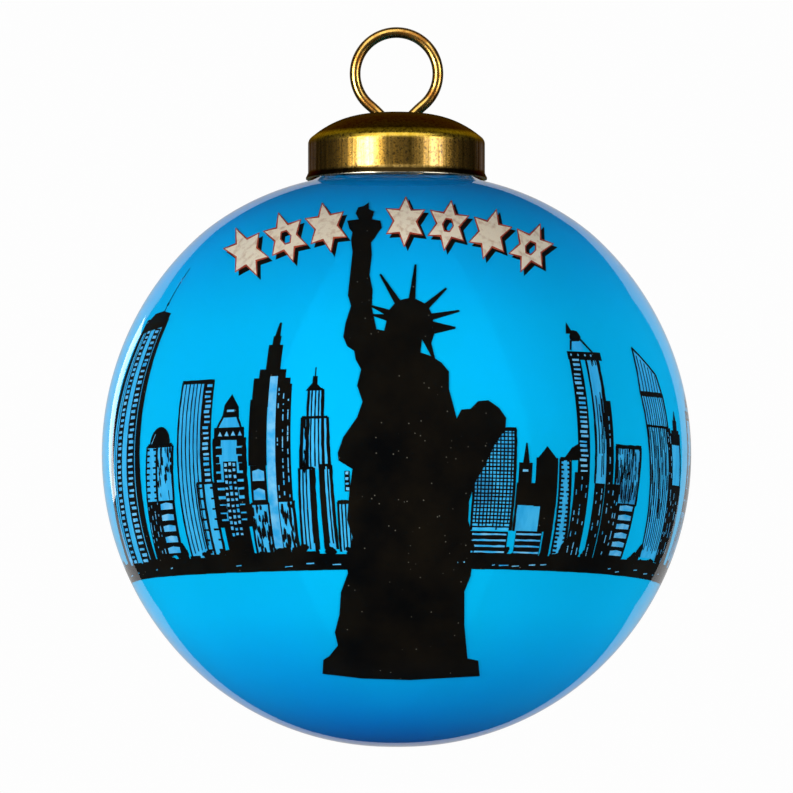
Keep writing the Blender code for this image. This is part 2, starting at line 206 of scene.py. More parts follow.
def skin(name, shapes, place, pitch, lift, finish):
    """One painted skin: each shape is a list of flat loops, bent onto the ball and thickened."""
    verts = []
    faces = []
    for index, loops in enumerate(shapes):
        points, triangles = flat_triangles(loops, pitch)
        outer_depth = GLASS_WALL - lift - (index % SHAPE_LIFTS) * SHAPE_LIFT
        inner_depth = GLASS_WALL - lift + SKIN_THICKNESS
        first = len(verts)
        inner = first + len(points)
        verts += [place(u, v, outer_depth) for u, v in points]
        verts += [place(u, v, inner_depth) for u, v in points]
        sides = {}
        for a, b, c in triangles:
            faces.append((first + a, first + b, first + c))
            faces.append((inner + c, inner + b, inner + a))
            for edge in ((a, b), (b, c), (c, a)):
                sides[edge] = True
        for a, b in sides:
            if (b, a) not in sides:
                faces.append((first + b, first + a, inner + a, inner + b))
    mesh = bpy.data.meshes.new(name)
    mesh.from_pydata(verts, [], faces)
    mesh.validate()
    return mesh_object(name, mesh, finish)


def mesh_object(name, mesh, finish):
    """A smooth-shaded object that keeps its sharp edges."""
    obj = bpy.data.objects.new(name, mesh)
    bpy.context.scene.collection.objects.link(obj)
    mesh.materials.append(finish)
    mesh.shade_smooth()
    mesh.set_sharp_from_angle(angle=math.radians(SHARP_ANGLE))
    return obj


def turned(name, profile, steps, finish):
    """A closed shell from a profile of (radius, height) turned about the ball's axis."""
    verts = []
    rings = []
    for radius, height in profile:
        if radius < 1e-7:
            rings.append([len(verts)])
            verts.append((0.0, 0.0, CENTRE_Z + height))
            continue
        rings.append(list(range(len(verts), len(verts) + steps)))
        for step in range(steps):
            turn = math.tau * step / steps
            verts.append((radius * math.cos(turn), radius * math.sin(turn), CENTRE_Z + height))
    faces = []
    for upper, lower in zip(rings, rings[1:]):
        for step in range(steps):
            after = (step + 1) % steps
            if len(upper) == 1:
                faces.append((upper[0], lower[step], lower[after]))
            elif len(lower) == 1:
                faces.append((upper[step], lower[0], upper[after]))
            else:
                faces.append((upper[step], lower[step], lower[after], upper[after]))
    mesh = bpy.data.meshes.new(name)
    mesh.from_pydata(verts, [], faces)
    return mesh_object(name, mesh, finish)


# ---- materials


class Finish:
    """A procedural material: a Principled shader, and short calls that add nodes to it."""

    def __init__(self, name, roughness, metallic=0.0, specular=0.5):
        self.material = bpy.data.materials.new(name)
        self.material.use_nodes = True
        self.tree = self.material.node_tree
        self.shader = self.tree.nodes["Principled BSDF"]
        self.set("Roughness", roughness)
        self.set("Metallic", metallic)
        self.set("Specular IOR Level", specular)
        self.coords = self.node("TexCoord")

    def set(self, name, value):
        self.shader.inputs[name].default_value = value

    def node(self, kind, **values):
        """A new shader node, with its inputs set by name (_ stands for a space)."""
        node = self.tree.nodes.new("ShaderNode" + kind)
        for name, value in values.items():
            node.inputs[name.replace("_", " ")].default_value = value
        return node

    def link(self, output, socket):
        self.tree.links.new(output, socket)

    def stretched(self, stretch):
        mapping = self.node("Mapping", Scale=stretch)
        self.link(self.coords.outputs["Object"], mapping.inputs["Vector"])
        return mapping.outputs["Vector"]

    def noise(self, scale, detail=3.0, roughness=0.5, stretch=(1.0, 1.0, 1.0)):
        node = self.node("TexNoise", Scale=scale, Detail=detail, Roughness=roughness)
        self.link(self.stretched(stretch), node.inputs["Vector"])
        return node.outputs["Fac"]

    def dots(self, scale):
        """Distance to the nearest of scattered points, and a random value for each point."""
        node = self.node("TexVoronoi", Scale=scale)
        self.link(self.coords.outputs["Object"], node.inputs["Vector"])
        return node.outputs["Distance"], node.outputs["Color"]

    def height(self, low, high):
        """0 at a height above the ball's centre, 1 at another, in metres."""
        split = self.node("SeparateXYZ")
        self.link(self.coords.outputs["Object"], split.inputs["Vector"])
        return self.span(split.outputs["Z"], CENTRE_Z + low, CENTRE_Z + high)

    def span(self, value, low, high, to_low=0.0, to_high=1.0):
        node = self.node("MapRange", From_Min=low, From_Max=high, To_Min=to_low, To_Max=to_high)
        self.link(value, node.inputs["Value"])
        return node.outputs["Result"]

    def times(self, a, b):
        node = self.node("Math")
        node.operation = "MULTIPLY"
        self.link(a, node.inputs[0])
        self.link(b, node.inputs[1])
        return node.outputs["Value"]

    def ramp(self, value, *stops):
        """A colour from a value, by (position, colour) stops."""
        node = self.node("ValToRGB")
        elements = node.color_ramp.elements
        while len(elements) < len(stops):
            elements.new(1.0)
        for element, (position, color) in zip(elements, stops):
            element.position = position
            element.color = (*color, 1.0)
        self.link(value, node.inputs["Fac"])
        return node.outputs["Color"]

    def mix(self, factor, a, b):
        """Mixes two colours, each an output or three numbers."""
        node = self.node("Mix")
        node.data_type = "RGBA"
        self.link(factor, node.inputs["Factor"])
        for socket, color in ((node.inputs[6], a), (node.inputs[7], b)):
            if isinstance(color, tuple):
                socket.default_value = (*color, 1.0)
            else:
                self.link(color, socket)
        return node.outputs[2]

    def color(self, output):
        self.link(output, self.shader.inputs["Base Color"])

    def rough(self, output):
        self.link(output, self.shader.inputs["Roughness"])

    def bump(self, height, distance):
        node = self.node("Bump", Distance=distance, Strength=1.0)
        self.link(height, node.inputs["Height"])
        self.link(node.outputs["Normal"], self.shader.inputs["Normal"])


def glass_finish():
    """Clear blown glass. Light that falls on the paint passes straight through it."""
    finish = Finish("clear_blown_glass", roughness=0.0)
    finish.set("Base Color", (1.0, 1.0, 1.0, 1.0))
    finish.set("IOR", 1.5)
    finish.set("Transmission Weight", 1.0)
    finish.bump(finish.noise(45.0, detail=1.0), 0.00035)
    path = finish.node("LightPath")
    clear = finish.node("BsdfTransparent")
    either = finish.node("MixShader")
    output = finish.tree.nodes["Material Output"]
    finish.link(path.outputs["Is Shadow Ray"], either.inputs["Fac"])
    finish.link(finish.shader.outputs["BSDF"], either.inputs[1])
    finish.link(clear.outputs["BSDF"], either.inputs[2])
    finish.link(either.outputs["Shader"], output.inputs["Surface"])
    return finish.material


def sky_finish():
    """Blue sky paint, sprayed, with faint clouds in the coat. The deeper blue near the cap and the bottom
    is painted shade, where the ball turns away from the light.
    """
    finish = Finish("sky_blue_paint", roughness=0.55, specular=0.2)
    rise = finish.height(-BALL_RADIUS, BALL_RADIUS)
    # painted shade: the ramp darkens the blue towards the bottom and towards the cap, where less light
    # falls on the ball
    coat = finish.ramp(
        rise,
        (0.0, (0.0, 0.22, 0.88)),
        (0.08, (0.0, 0.38, 0.9)),
        (0.22, (0.0, 0.53, 0.93)),
        (0.7, (0.0, 0.53, 0.93)),
        (0.95, (0.0, 0.36, 0.9)),
    )
    clouds = finish.span(finish.noise(55.0, detail=3.0, roughness=0.55), 0.35, 0.7, 0.0, 0.12)
    finish.color(finish.mix(clouds, coat, (0.0, 0.62, 1.0)))
    finish.bump(finish.noise(2600.0, detail=2.0), PAINT_BUMP)
    return finish.material


def tint_finish():
    """Pale blue of the tower walls, brushed up and down, with darker passes."""
    finish = Finish("tower_pale_blue_paint", roughness=0.5, specular=0.2)
    strokes = finish.noise(900.0, detail=3.0, roughness=0.6, stretch=(1.0, 1.0, 0.12))
    blue = finish.ramp(strokes, (0.3, (0.025, 0.42, 0.82)), (0.6, (0.06, 0.54, 0.94)))
    patches = finish.span(finish.noise(150.0, detail=2.0), 0.58, 0.7)
    finish.color(finish.mix(patches, blue, (0.03, 0.3, 0.6)))
    finish.bump(strokes, PAINT_BUMP)
    return finish.material


def light_finish():
    """Small lit marks put on over the ink, some bluer and some paler."""
    finish = Finish("lit_mark_paint", roughness=0.5, specular=0.2)
    tone = finish.noise(700.0, detail=2.0)
    finish.color(finish.ramp(tone, (0.35, (0.03, 0.42, 0.82)), (0.65, (0.2, 0.6, 0.9))))
    finish.bump(finish.noise(3000.0), PAINT_BUMP)
    return finish.material


def black_finish(name, speck_share):
    """Thick black paint, brownish where it is thin, with scattered pinholes that show light."""
    finish = Finish(name, roughness=0.4, specular=0.1)
    thin = finish.noise(120.0, detail=4.0, roughness=0.6)
    black = finish.ramp(thin, (0.35, (0.0016, 0.0018, 0.002)), (0.75, (0.009, 0.0065, 0.0035)))
    distance, chance = finish.dots(1100.0)
    near = finish.span(distance, 0.05, 0.11, 1.0, 0.0)
    chosen = finish.span(chance, 1.0 - speck_share, 1.0 - speck_share + 0.06)
    finish.color(finish.mix(finish.times(near, chosen), black, (0.16, 0.15, 0.12)))
    finish.bump(finish.noise(1500.0, detail=3.0), PAINT_BUMP)
    return finish.material


def brushed_paint(name, scale, *stops, stretch=(1.0, 1.0, 1.0)):
    """Matt paint whose colour runs between two stops along its brush marks."""
    finish = Finish(name, roughness=0.5, specular=0.2)
    marks = finish.noise(scale, detail=3.0, stretch=stretch)
    finish.color(finish.ramp(marks, *stops))
    finish.bump(marks, PAINT_BUMP)
    return finish.material


def cream_finish():
    stops = ((0.3, (0.78, 0.55, 0.36)), (0.5, (1.0, 0.84, 0.62)))
    return brushed_paint("cream_star_paint", 1300.0, *stops, stretch=(1.0, 1.0, 0.4))


def red_finish():
    stops = ((0.35, (0.3, 0.03, 0.015)), (0.65, (0.62, 0.1, 0.04)))
    return brushed_paint("brick_red_paint", 1000.0, *stops)


def antique_brass_finish():
    """Aged brass: darker brown on the crown, a brighter yellow band on the shoulder that is a painted
    highlight, bronze skirt.
    """
    finish = Finish("antique_brass", roughness=0.3, metallic=1.0)
    finish.set("Coat Roughness", 0.17)
    finish.set("Specular Tint", (0.6, 0.38, 0.1, 1.0))
    finish.set("Coat Tint", (1.0, 0.84, 0.42, 1.0))
    streaks = finish.noise(1500.0, detail=3.0, roughness=0.65, stretch=(1.0, 1.0, 0.03))
    grain = finish.noise(2600.0, detail=4.0, roughness=0.7)
    bronze = finish.ramp(streaks, (0.35, (0.14, 0.08, 0.012)), (0.65, (0.46, 0.3, 0.08)))
    bronze = finish.mix(finish.span(grain, 0.5, 0.68), bronze, (0.05, 0.028, 0.005))
    # painted highlight: this brighter yellow ramp goes on the shoulder band, where the bend catches the
    # light
    painted_gold_highlight = finish.ramp(grain, (0.35, (0.5, 0.31, 0.01)), (0.65, (0.85, 0.58, 0.05)))
    brown = finish.ramp(grain, (0.35, (0.06, 0.032, 0.0)), (0.65, (0.12, 0.07, 0.003)))
    shoulder = finish.height(*GOLD_HIGHLIGHT_RISES)
    crown = finish.height(*BROWN_RISES)
    wall = finish.mix(shoulder, bronze, painted_gold_highlight)
    wall = finish.mix(crown, wall, brown)
    # painted shade: a near-black band at the roll under the skirt, where shade falls in the crease
    groove_painted_shade = finish.height(SKIRT_FOOT + 0.0002, SKIRT_FOOT - 0.0002)
    wall = finish.mix(groove_painted_shade, wall, (0.02, 0.012, 0.003))
    lip = finish.height(CAP_FOOT + 0.00012, CAP_FOOT + 0.00006)
    wall = finish.mix(lip, wall, (0.35, 0.32, 0.25))
    lacquer = finish.times(finish.height(*LACQUER_FADES), finish.span(streaks, 0.38, 0.58))
    lacquer = finish.times(lacquer, finish.height(SKIRT_FOOT, SKIRT_FOOT + 0.0003))
    finish.link(lacquer, finish.shader.inputs["Coat Weight"])
    finish.color(wall)
    finish.rough(finish.span(grain, 0.3, 0.75, 0.2, 0.42))
    finish.bump(finish.mix(shoulder, streaks, grain), 0.00002)
    return finish.material


def ring_finish():
    """Polished brass wire, with reddish tarnish in patches and drawing marks."""
    finish = Finish("polished_brass_wire", roughness=0.16, metallic=1.0)
    tarnish = finish.noise(420.0, detail=4.0, roughness=0.6)
    brass = finish.ramp(tarnish, (0.38, (0.6, 0.37, 0.09)), (0.6, (0.26, 0.11, 0.02)))
    finish.color(brass)
    finish.rough(finish.span(tarnish, 0.3, 0.7, 0.16, 0.36))
    finish.bump(finish.noise(1400.0, detail=1.0), 0.000008)
    return finish.material


def glue_finish():
    finish = Finish("cured_adhesive", roughness=0.35)
    haze = finish.noise(500.0)
    finish.color(finish.ramp(haze, (0.3, (0.5, 0.42, 0.28)), (0.7, (0.7, 0.62, 0.45))))
    finish.bump(haze, 0.00005)
    return finish.material


# ---- glass and sky


def make_glass():
    bore = NECK_RADIUS - GLASS_WALL
    inner_angle = math.degrees(math.asin(bore / (ball_radius(SHOULDER_ANGLE) - GLASS_WALL)))
    inside = ball_arc(180.0, inner_angle, 96, GLASS_WALL)
    inside[0] = (0.0, inside[0][1])
    outside = ball_arc(SHOULDER_ANGLE, 180.0, 112, 0.0)
    outside[-1] = (0.0, outside[-1][1])
    neck = [
        (bore, NECK_TOP - NECK_LIP),
        (bore + NECK_LIP, NECK_TOP),
        (NECK_RADIUS - NECK_LIP, NECK_TOP),
        (NECK_RADIUS, NECK_TOP - NECK_LIP),
    ]
    neck += [(NECK_RADIUS + out, outside[0][1] + rise) for out, rise in NECK_FILLET]
    ball = turned("glass_ball_shell", inside + neck + outside, BALL_STEPS, glass_finish())
    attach(ball, "ornament")
    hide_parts("glass_ball")
    return ball


def make_sky():
    mouth = SHOULDER_ANGLE - 3.0
    inside = ball_arc(180.0, mouth, 96, GLASS_WALL - SKY_LIFT + SKIN_THICKNESS)
    inside[0] = (0.0, inside[0][1])
    outside = ball_arc(mouth, 180.0, 96, GLASS_WALL - SKY_LIFT)
    outside[-1] = (0.0, outside[-1][1])
    sky = turned("sky_paint_skin", inside + outside, BALL_STEPS, sky_finish())
    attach(sky, "ornament")
    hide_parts("sky_coat")


# ---- drawing by hand


INK_WIDTH = 0.5             # degrees: a common ink line
FINE_WIDTH = 0.28
HAND_WOBBLE = 0.09


class Drawing:
    """Flat shapes for three painted skins, drawn with a slightly unsteady hand."""

    def __init__(self, seed, wobble):
        self.draw = random.Random(seed)
        self.wobble = wobble
        self.tint = []
        self.ink = []
        self.light = []

    def near(self, amount=1.0):
        return self.draw.uniform(-1.0, 1.0) * self.wobble * amount

    def stroke(self, layer, points, width, step=1.3):
        """A stroke along straight runs between points, whose two edges waver."""
        line = [Vector(points[0])]
        for start, end in zip(points, points[1:]):
            run = Vector(end) - Vector(start)
            parts = max(1, math.ceil(run.length / step))
            line += [Vector(start) + run * (i + 1) / parts for i in range(parts)]
        left = []
        right = []
        for index, point in enumerate(line):
            along = line[min(index + 1, len(line) - 1)] - line[max(index - 1, 0)]
            side = Vector((-along.y, along.x)).normalized() * width / 2
            left.append(point + side * (1.0 + self.near(2.0)) + Vector((self.near(0.4), self.near(0.4))))
            right.append(point - side * (1.0 + self.near(2.0)) + Vector((self.near(0.4), self.near(0.4))))
        layer.append([[(p.x, p.y) for p in left + right[::-1]]])

    def blob(self, layer, centre, across, up, points=11, rough=0.18):
        """A rounded patch with an uneven edge."""
        outline = []
        for step in range(points):
            turn = math.tau * step / points
            reach = 1.0 + self.draw.uniform(-rough, rough)
            x = centre[0] + across * reach * math.cos(turn)
            outline.append((x, centre[1] + up * reach * math.sin(turn)))
        layer.append([outline])

    def area(self, layer, outline):
        """A filled shape whose corners are a little off."""
        layer.append([[(x + self.near(0.5), y + self.near(0.5)) for x, y in outline]])

    def line(self, layer, on, u0, v0, u1, v1, width=INK_WIDTH):
        """A stroke from one place on a tower or wall to another."""
        self.stroke(layer, [on.at(u0, v0), on.at(u1, v1)], width)

    def shape(self, layer, on, *places):
        """A filled outline through places on a tower or wall."""
        self.area(layer, [on.at(u, v) for u, v in places])

    def block(self, layer, on, u0, u1, v0, v1):
        """A filled block of a tower or wall."""
        self.shape(layer, on, (u0, v0), (u1, v0), (u1, v1), (u0, v1))


class Tower:
    """Where a tower stands: u runs from 0 at its left wall to 1 at its right, v is a latitude."""

    def __init__(self, foot_left, foot_right, left, right, top):
        self.foot = (foot_left, foot_right)
        self.head = (left, right)
        self.top = top

    def at(self, u, v):
        rise = (v - GROUND_HIGH) / (self.top - GROUND_HIGH)
        foot = self.foot[0] + (self.foot[1] - self.foot[0]) * u
        head = self.head[0] + (self.head[1] - self.head[0]) * u
        return (foot + (head - foot) * rise, v)


class Roof:
    """A tower's top: u as on the tower, and a rise over the top in degrees."""

    def __init__(self, tower):
        self.tower = tower

    def at(self, u, rise):
        return self.tower.at(u, self.tower.top + rise)


class Wall:
    """Part of a tower's front: x runs from 0 to 1 across it and y from 0 to 1 up it."""

    def __init__(self, tower, u0, u1, v0, v1, columns=1, rows=1):
        self.tower = tower
        self.corner = (u0, v0)
        self.width = u1 - u0
        self.height = v1 - v0
        self.columns = columns
        self.rows = rows

    def at(self, x, y):
        return self.tower.at(self.corner[0] + self.width * x, self.corner[1] + self.height * y)


def plain(art, wall, width=INK_WIDTH):
    """A pale wall with ink lines on its left, right and top."""
    art.block(art.tint, wall, 0.0, 1.0, 0.0, 1.0)
    art.line(art.ink, wall, 0.0, 0.0, 0.0, 1.0, width)
    art.line(art.ink, wall, 1.0, 0.0, 1.0, 1.0, width * 1.3)
    art.line(art.ink, wall, 0.0, 1.0, 1.0, 1.0, width)


def stripes(art, wall):
    """A wall of tall ribs."""
    plain(art, wall)
    for column in range(1, wall.columns):
        x = (column + art.near(0.8)) / wall.columns
        art.line(art.ink, wall, x, art.draw.uniform(0.0, 0.08), x, 1.0, FINE_WIDTH)


def grid(art, wall):
    """A wall of small panes."""
    stripes(art, wall)
    for row in range(1, wall.rows):
        y = (row + art.near(0.8)) / wall.rows
        art.line(art.ink, wall, 0.0, y, 1.0, y, FINE_WIDTH)


def hatch(art, wall):
    """A wall shaded with many short upright strokes."""
    plain(art, wall)
    for _ in range(wall.columns * wall.rows):
        x = art.draw.uniform(0.0, 1.0)
        low = art.draw.uniform(0.0, 1.0)
        high = min(1.0, low + art.draw.uniform(0.1, 0.3))
        art.line(art.ink, wall, x, low, x, high, FINE_WIDTH * 0.8)


def ticks(art, wall):
    """A wall with short marks in from both sides."""
    plain(art, wall)
    for row in range(wall.rows):
        y = (row + 0.5) / wall.rows
        left_end = art.draw.uniform(0.25, 0.42)
        right_end = 1.0 - art.draw.uniform(0.2, 0.38)
        art.line(art.ink, wall, 0.0, y, left_end, y, INK_WIDTH * 0.8)
        art.line(art.ink, wall, right_end, y, 1.0, y, INK_WIDTH * 0.8)


def black(art, wall):
    art.block(art.ink, wall, 0.0, 1.0, 0.0, 1.0)


def ladder(art, wall):
    """A black column with a lit pane in each row."""
    black(art, wall)
    for column in range(wall.columns):
        for row in range(wall.rows):
            left = (column + 0.22 + art.near()) / wall.columns
            low = (row + 0.25 + art.near()) / wall.rows
            high = low + art.draw.uniform(0.35, 0.6) / wall.rows
            art.block(art.light, wall, left, left + 0.56 / wall.columns, low, high)


def lit(art, wall):
    """A black wall with a scatter of small lit dashes."""
    black(art, wall)
    for _ in range(wall.columns * wall.rows):
        x = (art.draw.randrange(wall.columns) + 0.5) / wall.columns
        low = art.draw.uniform(0.4 / wall.height, 1.0 - 0.6 / wall.height)
        high = min(low + art.draw.uniform(0.25, 1.1) / wall.height, 1.0 - 0.2 / wall.height)
        art.line(art.light, wall, x, low, x, high, 0.2)


def bays(art, wall):
    """A black wall with wide arched windows one above the other."""
    black(art, wall)
    for row in range(wall.rows):
        low = (row + 0.2) / wall.rows
        high = low + 0.5 / wall.rows
        arch = (0.5, low + 0.62 / wall.rows)
        art.shape(art.light, wall, (0.14, low), (0.86, low), (0.86, high), arch, (0.14, high))


def shaft(art, wall):
    """A plain lit strip that runs over the black."""
    art.block(art.light, wall, 0.0, 1.0, 0.0, 1.0)


def steps(art, wall):
    """Light and black courses by turns."""
    black(art, wall)
    margin = 0.04 / wall.width
    for row in range(wall.rows):
        y = (row + 0.5) / wall.rows
        art.line(art.light, wall, margin, y, 1.0 - margin, y, 0.34)


def ragged(art, wall):
    """A pale wall eaten into by black blocks from both sides and from below."""
    plain(art, wall, INK_WIDTH * 1.6)
    for row in range(wall.rows):
        low = row / wall.rows
        high = low + art.draw.uniform(0.6, 0.95) / wall.rows
        more = 0.16 * (1.0 - low)
        art.block(art.ink, wall, 0.0, art.draw.uniform(0.1, 0.24) + more, low, high)
        art.block(art.ink, wall, 1.0 - art.draw.uniform(0.1, 0.24) - more, 1.0, low, high)
    art.block(art.ink, wall, 0.36, 0.7, 0.0, 0.5)


def mottled(art, wall):
    """A wall whose upright shadows run together in patches."""
    plain(art, wall)
    margin = 0.04 / wall.width
    for _ in range(wall.columns * wall.rows):
        x = art.draw.uniform(margin, 1.0 - margin)
        y = art.draw.uniform(0.0, 1.0 - 0.5 / wall.height)
        art.blob(art.ink, wall.at(x, y), art.draw.uniform(0.12, 0.32), art.draw.uniform(0.4, 1.5), 8)


# ---- crowns


def mast_crown(art, roof, height):
    """A rounded roof, and a long mast with a bead on it and a sparkle."""
    hood = ((0.0, -3.0), (1.0, -1.6), (1.0, 1.2), (0.62, 1.9), (0.25, 1.4), (0.03, -0.6))
    art.shape(art.ink, roof, *hood)
    foot = Vector(roof.at(0.66, 1.0))
    tip = foot + Vector((0.1, height - 1.0))
    bead = foot.lerp(tip, 0.22)
    art.stroke(art.ink, [foot, tip], 0.28)
    art.blob(art.ink, bead, 0.42, 0.5, 8)
    glint = foot.lerp(tip, 0.72)
    for dx, dy in ((0.8, 1.1), (0.9, -0.8)):
        side = Vector((dx, dy))
        art.stroke(art.light, [glint - side, glint + side], 0.14)


def dome_crown(art, roof, height):
    """A round dome on a sill."""
    turns = [math.radians(15.0 * i) for i in range(13)]
    dome = [(0.5 + 0.38 * math.cos(turn), height * math.sin(turn)) for turn in turns]
    art.shape(art.ink, roof, *dome)
    art.line(art.ink, roof, 0.06, 0.0, 0.94, 0.0)
    art.line(art.light, roof, 0.2, 0.3, 0.32, height * 0.6, 0.12)


def steps_crown(art, roof, height):
    """A lantern on legs over a dotted parapet."""
    art.block(art.ink, roof, -0.02, 1.02, -0.3, 0.1 * height + 1.0)
    for u in (0.14, 0.34, 0.54, 0.74):
        art.shape(art.light, roof, (u, 0.1), (u + 0.12, 0.1), (u + 0.06, 0.8))
    legs_top = 0.55 * height
    art.block(art.tint, roof, 0.22, 0.78, 0.8, legs_top)
    art.line(art.ink, roof, 0.14, 0.8, 0.28, legs_top)
    art.line(art.ink, roof, 0.86, 0.8, 0.72, legs_top)
    art.block(art.ink, roof, 0.22, 0.78, legs_top - 0.2, 0.85 * height)
    art.block(art.light, roof, 0.38, 0.62, legs_top + 0.5, legs_top + 0.75)
    eaves = 0.8 * height
    art.shape(art.ink, roof, (0.36, eaves), (0.64, eaves), (0.5, 1.15 * height))


def lantern_crown(art, roof, height):
    """A black parapet with a row of small gables, a trapezoid on it and a sloping head."""
    art.block(art.ink, roof, 0.0, 1.0, -2.0, 0.2)
    for u in (0.14, 0.36, 0.58, 0.8):
        art.shape(art.light, roof, (u, -1.5), (u + 0.14, -1.5), (u + 0.07, -0.6))
    shoulder = 0.35 * height
    art.shape(art.tint, roof, (0.12, 0.0), (0.9, 0.0), (0.76, shoulder), (0.3, shoulder))
    art.line(art.ink, roof, 0.1, 0.0, 0.3, shoulder)
    art.line(art.ink, roof, 0.9, 0.0, 0.76, shoulder)
    head = [(0.26, shoulder - 0.2), (0.82, shoulder - 0.2), (0.8, 0.62 * height)]
    art.shape(art.ink, roof, *head, (0.55, height), (0.32, 0.7 * height))
    art.block(art.light, roof, 0.42, 0.66, 0.48 * height, 0.54 * height)


def spire_crown(art, roof, height):
    """Setbacks that end in a needle."""
    tower = roof.tower
    top = tower.top
    middle = (tower.head[0] + tower.head[1]) / 2
    half = (tower.head[1] - tower.head[0]) / 2
    courses = ((0.92, -0.1, 0.27), (0.66, 0.24, 0.38), (0.36, 0.36, 0.7), (0.2, 0.66, 0.82))
    for reach, low, high in courses:
        left = middle - reach * half
        right = middle + reach * half
        foot = top + low * height
        head = top + high * height
        art.area(art.ink, [(left, foot), (right, foot), (right, head), (left, head)])
    foot = top + 0.78 * height
    tip = top + height
    needle = [(-0.16, foot), (0.16, foot), (0.1, tip), (0.0, tip)]
    art.area(art.ink, [(middle + reach * half, v) for reach, v in needle])


def horns_crown(art, roof, height):
    """Two legs joined by a beam, a lantern above it."""
    art.block(art.ink, roof, 0.0, 1.0, -0.6, 0.16 * height)
    for u in (0.1, 0.3, 0.5, 0.68):
        art.blob(art.light, roof.at(u, 0.06 * height), 0.2, 0.24, 7)
    beam = 0.2 * height
    art.block(art.tint, roof, 0.2, 0.5, beam, beam + 0.28 * height)
    art.line(art.ink, roof, 0.12, beam, 0.2, beam + 0.3 * height)
    art.line(art.ink, roof, 0.78, beam - 0.6, 0.48, beam + 0.34 * height)
    art.blob(art.ink, roof.at(0.34, beam + 0.42 * height), 1.7, 0.17 * height, 12, 0.25)
    eaves = beam + 0.5 * height
    art.shape(art.ink, roof, (0.1, eaves), (0.32, eaves), (0.2, 1.06 * height))


def slant_crown(art, roof, height):
    """One sloping roof line with ribs up to it."""
    tower = roof.tower
    top = tower.top
    low = top - 0.9
    left, right = tower.head
    peak = (left + 0.6, top + height)
    eaves = (right - 1.2, top + 0.4 * height)
    art.area(art.tint, [(left, low), (right, low), eaves, peak])
    art.stroke(art.ink, [peak, eaves], INK_WIDTH * 1.1)
    art.stroke(art.ink, [(left, low), peak], INK_WIDTH)
    art.stroke(art.ink, [(right, low), eaves], INK_WIDTH * 1.3)
    art.stroke(art.ink, [(left, low), (right, low)], INK_WIDTH)
    for column in range(1, 7):
        share = column / 7
        high = top + height * (1.0 - 0.6 * share) - 0.9
        x = left + 0.3 + (right - left - 1.0) * share
        art.stroke(art.ink, [(x, low), (x, high)], FINE_WIDTH)


def eaves_crown(art, roof, height):
    """A black roof that climbs away to the right."""
    tower = roof.tower
    top = tower.top
    right = tower.head[1]
    outline = [tower.at(0.2, top - 0.4), (right + 2.4, top - 0.2), (right + 3.2, top + height)]
    art.area(art.ink, outline + [(right + 0.4, top + 0.6 * height)])


def tiered_crown(art, roof, height):
    """A narrow block with a needle on it."""
    art.block(art.ink, roof, 0.0, 1.0, -0.2, 0.52 * height)
    art.block(art.light, roof, 0.3, 0.7, 0.3 * height, 0.36 * height)
    foot = 0.5 * height
    art.shape(art.ink, roof, (0.3, foot), (0.8, foot), (0.62, height), (0.5, height))


def gable_crown(art, roof, height):
    art.shape(art.ink, roof, (0.0, -0.3), (1.0, -0.3), (0.5, height))


def finial_crown(art, roof, height):
    """A small pointed roof with a stub of a mast."""
    eaves = 0.53 * height
    art.shape(art.ink, roof, (0.12, eaves), (0.82, eaves), (0.42, 0.72 * height))
    art.block(art.ink, roof, 0.36, 0.56, 0.6 * height, 0.82 * height)
    art.line(art.ink, roof, 0.45, 0.7 * height, 0.46, height, 0.24)


def flat_crown(art, roof, height):
    art.line(art.ink, roof, -0.02, 0.0, 1.02, 0.0, INK_WIDTH * 1.6)


CROWNS = {
    "mast": mast_crown, "dome": dome_crown, "steps": steps_crown, "spire": spire_crown,
    "horns": horns_crown, "slant": slant_crown, "gable": gable_crown, "finial": finial_crown,
    "eaves": eaves_crown, "tiered": tiered_crown, "lantern": lantern_crown, "flat": flat_crown,
}


# ---- skyline


